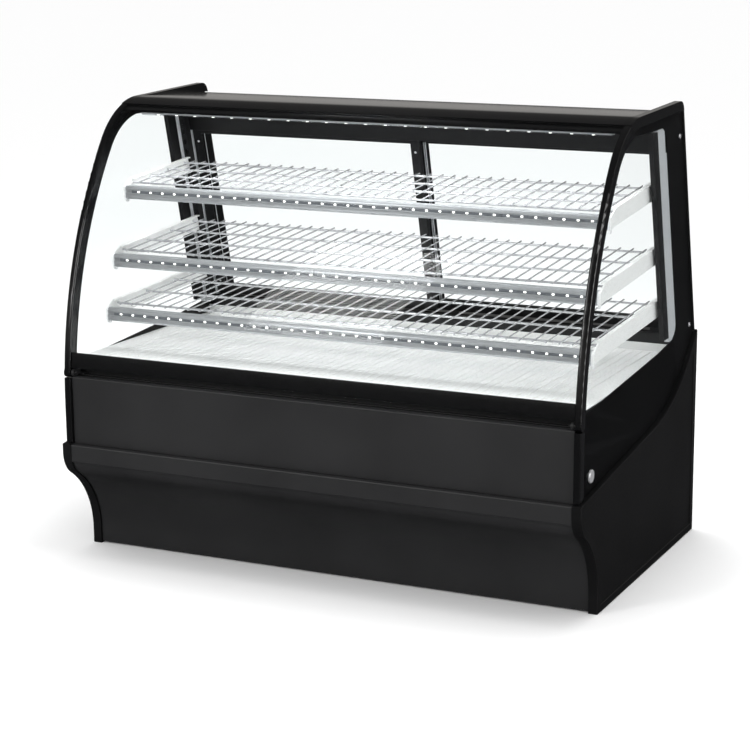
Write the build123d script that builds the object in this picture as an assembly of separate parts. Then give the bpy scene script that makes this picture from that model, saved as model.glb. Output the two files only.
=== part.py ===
from build123d import *
import os
from math import atan2, cos, degrees, hypot, radians, sin, sqrt

# Glass display showcase, in millimetres. +X runs to the right as the customer sees it, the
# customer stands on the -Y side, +Z is up, and the origin is under the middle of the cabinet.
# Depths are measured back from the front-most plane, the nose of the base's ledge.

# ---- overall size -------------------------------------------------------------------------
LENGTH = 1505.0
DEPTH = 930.0
HALF = LENGTH / 2

# ---- base end panels ----------------------------------------------------------------------
END_THICK = 26.0
END_RIM = 22.0
END_RECESS = 3.0
LEDGE_Z = 318.0
ANKLE_TOP_Z = 290.0
ANKLE_R = 75.0
ANKLE_TURN = 56.0
INSTEP_R = 222.0
INSTEP_CENTRE = (
    ANKLE_R - (ANKLE_R + INSTEP_R) * cos(radians(ANKLE_TURN)),
    ANKLE_TOP_Z - (ANKLE_R + INSTEP_R) * sin(radians(ANKLE_TURN)),
)
INSTEP_D = INSTEP_CENTRE[0] + INSTEP_R
SHOULDER = (560.0, 385.0)
HEEL_Z = 586.0
END_INNER = HALF - END_THICK

# ---- upper ends and the curved front ------------------------------------------------------
GLASS_THICK = 6.0
END_GLASS_X = 744.0
BORDER_THICK = 2.0
CURVE_D = 8.0
CURVE_Z = 430.0
BIG_R = 1197.0
BIG_CENTRE = (CURVE_D + BIG_R, CURVE_Z)
SMALL_R = 238.0
KNEE = 144.29
SMALL_CENTRE = (
    BIG_CENTRE[0] + (BIG_R - SMALL_R) * cos(radians(KNEE)),
    BIG_CENTRE[1] + (BIG_R - SMALL_R) * sin(radians(KNEE)),
)
CROWN_ANGLE = 91.93
CROWN_FILLET = 30.0
PANE_FILLET = 2.0
LEAN_TOP = (776.0, 1210.0)
LEAN_RATE = (928.0 - 776.0) / (1210.0 - 580.0)
POST_DEPTH = 27.0
POST_GAP = 0.4
POST_X = (726.0, 745.0)
WINDOW_INSET = 48.0

# ---- moving front glass -------------------------------------------------------------------
PIVOT = (24.5, 514.0)
PIVOT_R = 5.0
PIVOT_GAP = 0.06
KNUCKLE_R = 13.3
EAR_R = 10.5
GLASS_LOW_Z = 527.0
GLASS_BAND_Z = 569.0
GLASS_TOP_ANGLE = 111.4
NOSE_ANGLE = 110.7

# ---- canopy -------------------------------------------------------------------------------
CANOPY_NOSE_DEPTH = 18.8
CANOPY_REAR_Z = 1209.0

# ---- doors, posts and shelf standards at the rear -----------------------------------------
POST_BAR_X = (722.0, 736.0)
STANDARD_X = (704.0, 722.0)
SLOT_PITCH = 30.0
SLOT_HEIGHT = 16.0
SLOT_WIDTH = 6.0
DOOR_WIDTH = 728.0
DOOR_EDGE = 720.0
DOOR_THICK = 16.0
DOOR_AHEAD = {"left": 126.0, "right": 100.0}
DOOR_LOW_Z = 602.0
DOOR_TOP_Z = 1136.0
DOOR_STILE = 27.0
HEADER_LOW_Z = 1110.0
SILL_TOP_Z = 598.0

# ---- shelves: name, depth of the light rail's face, its top height, tilt, rear ahead of lean
SHELF_SPECS = (
    ("top", 286.0, 991.0, 5.0),
    ("middle", 216.0, 811.0, 4.2),
    ("bottom", 176.0, 667.0, 3.2),
)
SHELF_HALF = 715.0
BRACKET_THICK = 4.0
RAIL_DEPTH = 22.0
RAIL_HEIGHT = 37.0
WIRE_R = 2.0
CROSS_WIRE_R = 3.0
WIRE_PITCH = 36.0

# ---- deck ---------------------------------------------------------------------------------
DECK_Z = 548.0
DECK_HALF = 735.5
DECK_FRONT = 64.0
DECK_REAR = 772.0
SHEET = 2.0


def back(depth):
    """Y of a point this far behind the front-most plane."""
    return depth - DEPTH / 2


def lean_depth(z, ahead=0.0):
    """Depth of the leaning rear line at a height, or of a line ahead of it."""
    return LEAN_TOP[0] + (LEAN_TOP[1] - z) * LEAN_RATE - ahead


def box(x0, x1, d0, d1, z0, z1):
    """A block from its bounds, with depths from the front-most plane."""
    centre = ((x0 + x1) / 2, back((d0 + d1) / 2), (z0 + z1) / 2)
    return Pos(*centre) * Box(x1 - x0, d1 - d0, z1 - z0)


def side_face(*edges):
    """A face of the side profile from edges drawn as (depth, height)."""
    return make_face(Curve() + list(edges))


def slab(face, x0, x1):
    """The side profile pulled along the length from x0 to x1."""
    placed = Plane.YZ.offset(x0) * Pos(-DEPTH / 2, 0) * face
    return extrude(placed, x1 - x0)


def polygon_slab(points, x0, x1):
    """A straight-sided side profile pulled along the length."""
    return slab(make_face(Polyline(*points, close=True)), x0, x1)


def leaning_slab(ahead_0, ahead_1, z0, z1, x0, x1):
    """A block that leans with the rear, between two lines ahead of it."""
    points = (
        (lean_depth(z0, ahead_0), z0),
        (lean_depth(z0, ahead_1), z0),
        (lean_depth(z1, ahead_1), z1),
        (lean_depth(z1, ahead_0), z1),
    )
    return polygon_slab(points, x0, x1)


def turned(radius, depth, z, x0, x1):
    """A round bar along the length."""
    bar = Cylinder(radius, x1 - x0, rotation=(0, 90, 0))
    return Pos((x0 + x1) / 2, back(depth), z) * bar


def mirrored(solid):
    """The same piece on the other end."""
    return mirror(solid, about=Plane.YZ)


def save(node, *pieces):
    """Write one node, as a group of separate solids when it has several."""
    solids = [solid for piece in pieces for solid in piece.solids()]
    shape = solids[0] if len(solids) == 1 else Compound(children=solids)
    shape.label = node
    export_step(shape, f"parts/{node}.step")


def save_pair(node, right):
    """Write a piece of the right end and its mirror on the left."""
    save(f"{node}_right", right)
    save(f"{node}_left", mirrored(right))


# ---- profiles -----------------------------------------------------------------------------
def kick_edges(shift=0.0, low_z=0.0, high_z=LEDGE_Z):
    """The S of the base's front, from the floor up to the ledge."""
    ankle = (ANKLE_R + shift, ANKLE_TOP_Z)
    instep = (INSTEP_CENTRE[0] + shift, INSTEP_CENTRE[1])
    toe = INSTEP_D + shift
    return [
        Line((toe, low_z), (toe, INSTEP_CENTRE[1])),
        CenterArc(instep, INSTEP_R, 0, ANKLE_TURN),
        CenterArc(ankle, ANKLE_R, 180, ANKLE_TURN),
        Line((shift, ANKLE_TOP_Z), (shift, high_z)),
    ]


def base_profile():
    """Outline of a base end: S at the front, swept top edge, upright rear."""
    sweep = TangentArc(SHOULDER, (DEPTH, HEEL_Z), tangent=(SHOULDER[0], SHOULDER[1] - LEDGE_Z))
    return side_face(
        *kick_edges(),
        Line((0, LEDGE_Z), SHOULDER),
        sweep,
        Line((DEPTH, HEEL_Z), (DEPTH, 0)),
        Line((DEPTH, 0), (INSTEP_D, 0)),
    )


def curve_point(inset, angle):
    """A point of the curved front, set back square to the curve."""
    if angle > KNEE:
        centre, radius = BIG_CENTRE, BIG_R
    else:
        centre, radius = SMALL_CENTRE, SMALL_R
    reach = radius - inset
    return (centre[0] + reach * cos(radians(angle)), centre[1] + reach * sin(radians(angle)))


def curve_edges(inset, start, stop):
    """The two arcs of the curved front between two angles."""
    edges = []
    if start > KNEE:
        edges.append(CenterArc(BIG_CENTRE, BIG_R - inset, start, max(KNEE, stop) - start))
    if stop < KNEE:
        first = min(start, KNEE)
        edges.append(CenterArc(SMALL_CENTRE, SMALL_R - inset, first, stop - first))
    return edges


def curve_band(inset_0, inset_1, start, stop):
    """A strip that follows the curved front between two insets."""
    return side_face(
        *curve_edges(inset_0, start, stop),
        *curve_edges(inset_1, start, stop),
        Line(curve_point(inset_0, start), curve_point(inset_1, start)),
        Line(curve_point(inset_0, stop), curve_point(inset_1, stop)),
    )


def big_angle(z, inset=0.0):
    """Angle on the large arc at a height."""
    rise = (z - BIG_CENTRE[1]) / (BIG_R - inset)
    return 180.0 - degrees(atan2(rise, sqrt(1 - rise * rise)))


def upper_end_profile(front_inset):
    """Outline of an upper end: curved front, flat crown, leaning rear."""
    low_z = LEDGE_Z - 60
    front = CURVE_D + front_inset
    heel = (lean_depth(HEEL_Z - 4), HEEL_Z - 4)
    start = curve_point(front_inset, CROWN_ANGLE)
    rise = radians(CROWN_ANGLE - 90)
    run = (lean_depth(start[1]) - start[0]) / (cos(rise) + sin(rise) * LEAN_RATE)
    crown_rear = (start[0] + run * cos(rise), start[1] + run * sin(rise))
    outline = side_face(
        Line((front, low_z), (front, CURVE_Z)),
        *curve_edges(front_inset, 180.0, CROWN_ANGLE),
        Line(start, crown_rear),
        Line(crown_rear, heel),
        Line(heel, (heel[0], low_z)),
        Line((heel[0], low_z), (front, low_z)),
    )
    corner = outline.vertices().sort_by_distance(Vertex(*crown_rear, 0))[0]
    return fillet(corner, PANE_FILLET if front_inset else CROWN_FILLET)


def window_profile():
    """Clear window of an upper end, inside its black printed border."""
    low_z, high_z = 536.0, 1178.0
    rear_rise = ((lean_depth(high_z, 142.0), high_z), (lean_depth(612.0, 142.0), 612.0))
    start = big_angle(low_z, WINDOW_INSET)
    rise = (high_z - SMALL_CENTRE[1]) / (SMALL_R - WINDOW_INSET)
    stop = 180.0 - degrees(atan2(rise, sqrt(1 - rise * rise)))
    outline = side_face(
        *curve_edges(WINDOW_INSET, start, stop),
        Line(curve_point(WINDOW_INSET, stop), rear_rise[0]),
        Line(*rear_rise),
        Line(rear_rise[1], (745.0, 590.0)),
        Line((745.0, 590.0), (617.0, 575.0)),
        Line((617.0, 575.0), curve_point(WINDOW_INSET, start)),
    )
    top_rear = outline.vertices().sort_by_distance(Vertex(*rear_rise[0], 0))[0]
    outline = fillet(top_rear, 40.0)
    low_rear = outline.vertices().sort_by_distance(Vertex(*rear_rise[1], 0))[0]
    return fillet(low_rear, 30.0)


# ---- base ---------------------------------------------------------------------------------
def base_end():
    """Moulded end of the base, with a raised rim round a sunk face."""
    outline = base_profile()
    body = slab(outline, END_INNER, HALF)
    sunk = offset(outline, amount=-END_RIM, kind=Kind.INTERSECTION)
    body = body - slab(sunk, HALF - END_RECESS, HALF)
    rim = body.edges().filter_by_position(Axis.X, HALF - 0.01, HALF + 0.01)
    return chamfer(rim, 1.5)


def kick_panel():
    """Sheet that follows the S between the two ends."""
    set_back = 6.0
    low_z, high_z = 4.0, LEDGE_Z - 52
    outer = kick_edges(set_back, low_z, ANKLE_TOP_Z + 1)
    inner = kick_edges(set_back + 3, low_z, ANKLE_TOP_Z + 1)
    toe = INSTEP_D + set_back
    sheet = side_face(
        *outer,
        *inner,
        Line((toe, low_z), (toe + 3, low_z)),
        Line((set_back, ANKLE_TOP_Z + 1), (set_back + 3, ANKLE_TOP_Z + 1)),
    )
    panel = slab(sheet, -END_INNER, END_INNER)
    return panel - box(-HALF, HALF, -10, 200, high_z, LEDGE_Z)


def ledge_trim():
    """Rounded nose across the front, over the kick panel."""
    front, rear, low_z, wall = 3.0, 44.0, LEDGE_Z - 52, 3.0
    outer = box(-END_INNER, END_INNER, front, rear, low_z, LEDGE_Z - 1)
    nose = outer.edges().filter_by(Axis.X).sort_by(Axis.Y)[:2]
    hollow = box(-HALF, HALF, front + wall, rear, low_z + wall, LEDGE_Z - 1 - wall)
    return fillet(nose, 5.0) - hollow


def front_panel():
    """Flat sheet between the ledge and the glass, with a rolled top."""
    front, low_z, high_z, fold = 20.0, LEDGE_Z, 503.0, 22.0
    reach = POST_X[0] - 0.5
    outer = box(-reach, reach, front, front + fold, low_z, high_z)
    roll = outer.edges().filter_by(Axis.X).group_by(Axis.Z)[-1].sort_by(Axis.Y)[0]
    hollow = box(-HALF, HALF, front + SHEET, front + fold, low_z, high_z - SHEET)
    return fillet(roll, 4.0) - hollow


def base_frame():
    """Welded square tube that carries the deck and stands on the feet."""
    tube = 30.0
    wide = 700.0
    low_z, top_z = 22.0, 500.0
    rows = (172.0, 860.0)
    bars = []
    for z in (low_z, top_z - tube):
        for depth in rows:
            bars.append(box(-wide, wide, depth, depth + tube, z, z + tube))
        for x in (-wide, wide - tube):
            bars.append(box(x, x + tube, rows[0], rows[1] + tube, z, z + tube))
    for x in (-wide, wide - tube):
        for depth in rows:
            bars.append(box(x, x + tube, depth, depth + tube, low_z, top_z))
        bars.append(box(x, x + tube, 48, rows[0] + tube, top_z - tube, top_z))
        bars.append(box(x, x + tube, 48, 48 + tube, 330, top_z))
    bars.append(box(-wide, wide, 48, 48 + tube, top_z - tube, top_z))
    return Part() + bars


def levelling_feet():
    """Four feet with threaded stems, under the frame's corners."""
    foot_r, foot_h, stem_r = 21.0, 9.0, 5.0
    feet = []
    for x in (-685.0, 685.0):
        for depth in (187.0, 875.0):
            foot = Pos(x, back(depth), foot_h / 2) * Cylinder(foot_r, foot_h)
            nut = Pos(x, back(depth), foot_h + 4) * extrude(RegularPolygon(9.0, 6), 5, both=True)
            stem = Pos(x, back(depth), 15.5) * Cylinder(stem_r, 13)
            feet.append(foot + nut + stem)
    return feet


def rear_access_panel():
    """Screwed sheet across the rear of the base, with louvres and a cable hole."""
    low_z, high_z = 24.0, 540.0
    panel = box(-END_INNER, END_INNER, DEPTH - 6, DEPTH - 4, low_z, high_z)
    slots = []
    for row in range(8):
        for x in (-420.0, 0.0, 420.0):
            z = 180.0 + 24.0 * row
            slots.append(box(x - 120, x + 120, DEPTH - 10, DEPTH, z, z + 7))
    inlet = Pos(-600, back(DEPTH - 5), 110) * Cylinder(11, 12, rotation=(90, 0, 0))
    switch = box(586, 614, DEPTH - 10, DEPTH, 440, 462)
    return panel - slots - inlet - switch


def cable_inlet():
    """Round gland that the supply cable enters through."""
    centre = (-600.0, 110.0)
    rim = Pos(centre[0], back(DEPTH - 2), centre[1]) * Cylinder(17, 4, rotation=(90, 0, 0))
    neck = Pos(centre[0], back(DEPTH - 14), centre[1]) * Cylinder(11, 20, rotation=(90, 0, 0))
    nut = Pos(centre[0], back(DEPTH - 9), centre[1]) * Cylinder(16, 6, rotation=(90, 0, 0))
    bore = Pos(centre[0], back(DEPTH - 10), centre[1]) * Cylinder(4.5, 40, rotation=(90, 0, 0))
    return rim + neck + nut - bore


def led_driver():
    """Power supply of the lights, on the base's rear rail."""
    case = box(-560, -340, 800, 856, 56, 96)
    case = fillet(case.edges().filter_by(Axis.Z), 3)
    flanges = box(-575, -325, 815, 841, 52, 56)
    strap = box(-590, -310, 815, 841, 46, 52)
    legs = box(-590, -584, 815, 860, 46, 52) + box(-316, -310, 815, 860, 46, 52)
    return case + flanges + strap + legs


def switch_parts():
    """Light switch on the rear panel: a framed plate and its rocker."""
    x, z = 600.0, 451.0
    face = DEPTH - 4
    plate = box(x - 20, x + 20, face, face + 2, z - 17, z + 17)
    plate = fillet(plate.edges().filter_by(Axis.Y), 3) - box(x - 13, x + 13, 900, DEPTH, z - 10, z + 10)
    body = box(x - 14, x + 14, face - 24, face, z - 11, z + 11)
    body = body - box(x - 13, x + 13, face - 16, DEPTH, z - 10, z + 10)
    rocker = turned(9.4, face - 5.4, z, x - 12.6, x + 12.6)
    rocker = rocker - box(x - 13, x + 13, face + 1, DEPTH + 9, z - 12, z + 12)
    rocker = rocker - box(x - 13, x + 13, 900, face - 9, z - 12, z + 12)
    return plate + body, rocker


# ---- deck and sills -----------------------------------------------------------------------
def deck_pan():
    """White floor of the display, with fine ribs from front to rear."""
    floor = box(-DECK_HALF, DECK_HALF, DECK_FRONT, DECK_REAR, DECK_Z - 4, DECK_Z)
    ribs = []
    for step in range(-28, 29):
        x = 24.0 * step
        ribs.append(box(x - 3, x + 3, DECK_FRONT + 14, DECK_REAR - 20, DECK_Z - 0.5, DECK_Z + 2))
    turn_up = box(-DECK_HALF, DECK_HALF, DECK_REAR - 4, DECK_REAR, DECK_Z - 4, DECK_Z + 22)
    return floor + ribs + turn_up


def deck_support():
    """Folded carrier between the frame and the deck."""
    carrier = box(-DECK_HALF, DECK_HALF, DECK_FRONT, DECK_REAR, 500, DECK_Z - 4)
    inner = DECK_HALF - 4
    return carrier - box(-inner, inner, DECK_FRONT + 4, DECK_REAR - 4, 504, DECK_Z - 4)


def front_sill():
    """Black extrusion behind the foot of the glass."""
    outline = (
        (46.0, 500.0),
        (46.0, 506.0),
        (58.0, 506.0),
        (58.0, DECK_Z + 10),
        (DECK_FRONT, DECK_Z + 10),
        (DECK_FRONT, 500.0),
    )
    return polygon_slab(outline, -DECK_HALF, DECK_HALF)


def rear_sill():
    """Rear work ledge with the two lower door tracks."""
    rear = DEPTH - 6
    body = box(-726, 726, DECK_REAR, rear, 540, SILL_TOP_Z - 16)
    tracks = [box(-726, 726, DECK_REAR, DECK_REAR + 4, 540, SILL_TOP_Z)]
    for ahead in DOOR_AHEAD.values():
        middle = lean_depth(DOOR_LOW_Z, ahead - DOOR_THICK / 2)
        tracks.append(box(-726, 726, middle - 2, middle + 2, SILL_TOP_Z - 17, SILL_TOP_Z - 4))
    hollow = box(-HALF, HALF, DECK_REAR + 3, rear - 3, 540, SILL_TOP_Z - 19)
    return body + tracks - hollow


# ---- upper structure ----------------------------------------------------------------------
def upper_end():
    """Clear end glass with its black printed border on the inner face."""
    seat = base_profile()
    sheet = upper_end_profile(POST_DEPTH + POST_GAP) - seat
    glass = slab(sheet, END_GLASS_X - GLASS_THICK, END_GLASS_X)
    inner = END_GLASS_X - GLASS_THICK
    border = slab(sheet - window_profile(), inner - BORDER_THICK, inner)
    return glass, border


def rounded_front(post, radius):
    """Round the two long edges of a post that face the customer."""
    spine = []
    for edge in post.edges():
        middle = edge.center()
        on_side = min(abs(abs(middle.X) - x) for x in POST_X) < 0.01
        reach = hypot(middle.Y + DEPTH / 2 - BIG_CENTRE[0], middle.Z - BIG_CENTRE[1])
        bulge = hypot(middle.Y + DEPTH / 2 - SMALL_CENTRE[0], middle.Z - SMALL_CENTRE[1])
        low = middle.Z <= CURVE_Z and abs(middle.Y - back(CURVE_D)) < 0.01
        mid = middle.Z > CURVE_Z and abs(reach - BIG_R) < 1.5
        high = abs(bulge - SMALL_R) < 1.5 and middle.Z > SMALL_CENTRE[1] + 100
        if on_side and edge.length > 40 and (low or mid or high):
            spine.append(edge)
    return fillet(spine, radius)


def lower_post():
    """Fixed foot of the front post, from the ledge to the glass hinge."""
    top_z = PIVOT[1] - KNUCKLE_R - 1.0
    low_z = LEDGE_Z + 4.5
    straight = box(*POST_X, CURVE_D, CURVE_D + POST_DEPTH, low_z, CURVE_Z)
    bent = slab(curve_band(0, POST_DEPTH, 180.0, big_angle(top_z + 20)), *POST_X)
    post = straight + (bent - box(*POST_X, -20, 90, top_z, 700))
    return rounded_front(post, 5.0)


def front_trim():
    """Moving side trim of the curved glass, round at its hinge end."""
    band = slab(curve_band(0, POST_DEPTH, big_angle(PIVOT[1] - 20), GLASS_TOP_ANGLE), *POST_X)
    band = rounded_front(band, 5.0) - box(*POST_X, -20, 60, 400, PIVOT[1])
    knuckle = turned(KNUCKLE_R, *PIVOT, *POST_X)
    trim = band + knuckle
    return trim - turned(PIVOT_R, *PIVOT, POST_X[0], POST_X[0] + 14)


def crown_cap():
    """Fixed top of an end, from the glass back over the crown to the rear corner."""
    ring = upper_end_profile(0) - upper_end_profile(POST_DEPTH)
    nose = curve_point(-100, NOSE_ANGLE)
    wedge = make_face(Polyline(SMALL_CENTRE, nose, (1000, 1500), (1000, 1180), (500, 1180), close=True))
    return slab(ring & wedge, *POST_X)


def front_glass_parts():
    """Curved glass with its black foot band, foot rail and top rail."""
    reach = POST_X[0] - 0.5
    glass = slab(curve_band(1, 1 + GLASS_THICK, big_angle(GLASS_LOW_Z), GLASS_TOP_ANGLE), -reach, reach)
    inner = 1 + GLASS_THICK
    foot = curve_band(inner, inner + 9, big_angle(GLASS_LOW_Z, inner), big_angle(GLASS_BAND_Z, inner))
    foot_rail = slab(foot, -reach, reach)
    top = curve_band(inner, inner + 8, GLASS_TOP_ANGLE + 4.5, GLASS_TOP_ANGLE)
    return glass, foot_rail, slab(top, -reach, reach)


def glass_hinge_brackets():
    """Fixed ears that hold the glass's pivot pins."""
    ear = turned(EAR_R, *PIVOT, 716, 724) + box(716, 724, PIVOT[0], 50, 506, 520)
    foot = box(700, 724, 40, 58, 506, 510)
    return ear + foot - turned(PIVOT_R + PIVOT_GAP, *PIVOT, 700, 740)


def canopy_profile(inset=0.0):
    """Outline of the canopy above the glass: rounded nose, shallow roof, leaning back."""
    nose = curve_point(0, NOSE_ANGLE)
    crest = curve_point(0, CROWN_ANGLE)
    heel = curve_point(CANOPY_NOSE_DEPTH, NOSE_ANGLE)
    rear_top = (lean_depth(CANOPY_REAR_Z), CANOPY_REAR_Z)
    rear_low = (lean_depth(heel[1]), heel[1])
    middle = ((crest[0] + rear_top[0]) / 2, (crest[1] + rear_top[1]) / 2 + 3)
    outline = side_face(
        CenterArc(SMALL_CENTRE, SMALL_R, NOSE_ANGLE, CROWN_ANGLE - NOSE_ANGLE),
        ThreePointArc(crest, middle, rear_top),
        Line(rear_top, rear_low),
        Line(rear_low, heel),
        Line(heel, nose),
    )
    return offset(outline, amount=-inset, kind=Kind.INTERSECTION) if inset else outline


def canopy_parts():
    """Canopy shell, the tray that closes it, and its light."""
    reach = POST_X[0] - 0.5
    wall = 3.0
    heel = curve_point(CANOPY_NOSE_DEPTH, NOSE_ANGLE)
    tray_z = heel[1]
    shell = slab(canopy_profile(), -reach, reach)
    hollow = slab(canopy_profile(wall), -reach + wall, reach - wall)
    mouth = box(-HALF, HALF, 0, DEPTH, tray_z - 50, tray_z + wall)
    tray = box(-reach, reach, heel[0], lean_depth(tray_z) - 4, tray_z, tray_z + wall)
    light_d = heel[0] + 4
    light_z = tray_z - 11
    housing = box(-690, 690, light_d, light_d + 22, light_z, tray_z)
    lens = box(-688, 688, light_d + 2, light_d + 12, light_z - 3, light_z)
    return shell - hollow - mouth, tray, housing, lens


def rear_header():
    """Cross member at the top of the rear, with the two upper door tracks."""
    body = leaning_slab(150, 58, HEADER_LOW_Z, curve_point(CANOPY_NOSE_DEPTH, NOSE_ANGLE)[1], -735, 735)
    tracks = []
    for ahead in DOOR_AHEAD.values():
        tracks.append(leaning_slab(ahead + 2, ahead - DOOR_THICK - 2, HEADER_LOW_Z, 1148, -735, 735))
    return body - tracks


def rear_post():
    """Leaning aluminium jamb beside the doors."""
    post = leaning_slab(205, 60, SILL_TOP_Z - 10, 1180, *POST_BAR_X)
    header = leaning_slab(150, 50, HEADER_LOW_Z, 1195, *POST_BAR_X)
    groove = leaning_slab(146, 132, SILL_TOP_Z - 10, 1180, POST_BAR_X[0], POST_BAR_X[0] + 4)
    sill = box(*POST_BAR_X, DECK_REAR, DEPTH, 500, SILL_TOP_Z)
    return post - header - groove - sill


def shelf_standard():
    """Black slotted channel that the shelf brackets hook into."""
    low_z, high_z = 600.0, 1176.0
    bar = leaning_slab(190, 165, low_z, high_z, *STANDARD_X)
    hollow = leaning_slab(187, 168, low_z + 3, high_z - 3, STANDARD_X[0] + 3, STANDARD_X[1] - 3)
    middle = (STANDARD_X[0] + STANDARD_X[1]) / 2
    slots = []
    for step in range(18):
        z = low_z + 20 + SLOT_PITCH * step
        slots.append(leaning_slab(192, 186, z, z + SLOT_HEIGHT, middle - SLOT_WIDTH / 2, middle + SLOT_WIDTH / 2))
    cover = leaning_slab(246, 206, low_z, 1172, POST_BAR_X[0], POST_BAR_X[1])
    return bar - hollow - slots, cover


def door_parts(side):
    """One leaning sliding door: frame, pane, pull and glides."""
    sign = -1 if side == "left" else 1
    outer, inner = sign * DOOR_EDGE, sign * (DOOR_EDGE - DOOR_WIDTH)
    x0, x1 = min(outer, inner), max(outer, inner)
    ahead = DOOR_AHEAD[side]
    rear = ahead - DOOR_THICK
    frame = leaning_slab(ahead, rear, DOOR_LOW_Z, DOOR_TOP_Z, x0, x1)
    low, high = DOOR_LOW_Z + 34, DOOR_TOP_Z - 38
    frame = frame - leaning_slab(ahead, rear, low, high, x0 + DOOR_STILE, x1 - DOOR_STILE)
    bite = 8.0
    pane_box = (low - bite, high + bite, x0 + DOOR_STILE - bite, x1 - DOOR_STILE + bite)
    pane = leaning_slab(ahead - 5, ahead - 11, *pane_box)
    frame = frame - pane
    middle = lean_depth(DOOR_LOW_Z, ahead - DOOR_THICK / 2)
    glides = []
    for x in (x0 + 60, x1 - 60):
        glide = box(x - 14, x + 14, middle - 7, middle + 7, SILL_TOP_Z - 10, DOOR_LOW_Z + 6)
        glide = glide - box(x - 14, x + 14, middle - 2.4, middle + 2.4, 500, SILL_TOP_Z - 3.6)
        glides.append(glide)
        frame = frame - box(x - 14, x + 14, middle - 7, middle + 7, DOOR_LOW_Z - 5, DOOR_LOW_Z + 6)
    grip_x = outer - sign * DOOR_STILE / 2
    if side == "left":
        pull = leaning_slab(rear, rear - 7, 800, 960, grip_x - 9, grip_x + 9)
        pull = pull - leaning_slab(rear - 2, rear - 8, 812, 948, grip_x - 5, grip_x + 5)
    else:
        pull = leaning_slab(rear, rear - 30, 800, 960, grip_x - 6, grip_x + 6)
        pull = pull - leaning_slab(rear, rear - 22, 814, 946, grip_x - 6, grip_x + 6)
    return frame, pane, pull, glides


# ---- shelves ------------------------------------------------------------------------------
def shelf_parts(face, rail_top, tilt):
    """Brackets, wire deck, light rail and light lens of one tilted shelf."""
    slope = sin(radians(tilt)) / cos(radians(tilt))
    rail_rear = face + RAIL_DEPTH
    rise = 15.0
    height = 46.0

    def line(depth):
        return rail_top + rise + (depth - rail_rear) * slope

    rear = lean_depth(line(650.0) - height / 2, 190.8)
    top_rear = lean_depth(line(rear), 190.8)
    low_rear = lean_depth(line(rear) - height, 190.8)
    plate = (
        (face + 2, rail_top - RAIL_HEIGHT + 2),
        (face + 2, rail_top - 4),
        (rail_rear + 14, line(rail_rear + 14)),
        (top_rear, line(top_rear)),
        (low_rear, line(low_rear) - height),
        (rail_rear + 20, line(rail_rear + 20) - height),
    )
    x0, x1 = SHELF_HALF - BRACKET_THICK, SHELF_HALF
    bracket = polygon_slab(plate, x0, x1)
    lip = (
        (rail_rear + 16, line(rail_rear + 16) - 3),
        (rail_rear + 16, line(rail_rear + 16)),
        (top_rear, line(top_rear)),
        (top_rear, line(top_rear) - 3),
    )
    bracket = bracket + polygon_slab(lip, x0 - 9, x0)
    for hook in hook_heights(line(rear) - height, line(rear)):
        neck = leaning_slab(191, 183, hook + 1, hook + 7, x0 + 0.5, x1 - 0.5)
        tongue = leaning_slab(186.4, 181, hook - 4.4, hook + 7, x0 + 0.5, x1 - 0.5)
        bracket = bracket + neck + tongue

    drop = 9.0
    cross = []
    wire_start, wire_stop = rail_rear + 6, top_rear - 8
    for share in (0.06, 0.36, 0.66, 0.96):
        depth = wire_start + share * (wire_stop - wire_start)
        z = line(depth) - drop - WIRE_R - CROSS_WIRE_R + 0.8
        cross.append(turned(CROSS_WIRE_R, depth, z, -x0, x0))
    run = hypot(wire_stop - wire_start, line(wire_stop) - line(wire_start))
    middle = ((wire_start + wire_stop) / 2, (line(wire_start) + line(wire_stop)) / 2 - drop)
    wires = []
    count = int((x0 - 12) / WIRE_PITCH)
    for step in range(-count, count + 1):
        wire = Cylinder(WIRE_R, run, rotation=(90 + tilt, 0, 0))
        wires.append(Pos(step * WIRE_PITCH, back(middle[0]), middle[1]) * wire)
    deck = Part() + (cross + wires)

    rail = box(-x0, x0, face, rail_rear, rail_top - RAIL_HEIGHT, rail_top)
    nose = rail.edges().filter_by(Axis.X).sort_by(Axis.Y)[:2]
    rail = fillet(nose, 8.0)
    seat_z = rail_top - 16
    rail = rail - box(-x0 + 24, x0 - 24, face - 1, face + 4, seat_z - 4, seat_z + 4)
    lens = box(-x0 + 24, x0 - 24, face + 0.6, face + 4, seat_z - 4, seat_z + 4)
    return (bracket, mirrored(bracket)), deck, rail, lens


def hook_heights(low, high):
    """Lower edges of the standard's slots that lie behind a bracket."""
    slots = [620.0 + SLOT_PITCH * step for step in range(18)]
    return [z for z in slots if low + 4.5 < z and z + 7 < high]


# ---- fasteners ----------------------------------------------------------------------------
def side_caps():
    """Round bright caps over the glass hinge's fixing bolts."""
    cap = turned(17.0, 84, 375, END_GLASS_X, END_GLASS_X + 5)
    cap = fillet(cap.edges().group_by(Axis.X)[-1], 2.5)
    return cap, mirrored(cap)


def end_screws():
    """Button-head screws that hold the end glass to the rear posts."""
    screws = []
    for depth, z in ((742.0, 1146.0), (872.0, 610.0)):
        head = turned(6.0, depth, z, END_GLASS_X, END_GLASS_X + 3)
        head = fillet(head.edges().group_by(Axis.X)[-1], 1.5)
        screws += [head, mirrored(head)]
    return screws


# ---- write the nodes ----------------------------------------------------------------------
os.makedirs("parts", exist_ok=True)

save_pair("base_end", base_end())
save("kick_panel", kick_panel())
save("ledge_trim", ledge_trim())
save("front_panel", front_panel())
save("base_frame", base_frame())
save("levelling_feet", *levelling_feet())
save("rear_access_panel", rear_access_panel())
save("cable_inlet", cable_inlet())
save("led_driver", led_driver())
plate, rocker = switch_parts()
save("switch_plate", plate)
save("switch_rocker", rocker)

save("deck_pan", deck_pan())
save("deck_support", deck_support())
save("front_sill", front_sill())
save("rear_sill", rear_sill())

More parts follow.
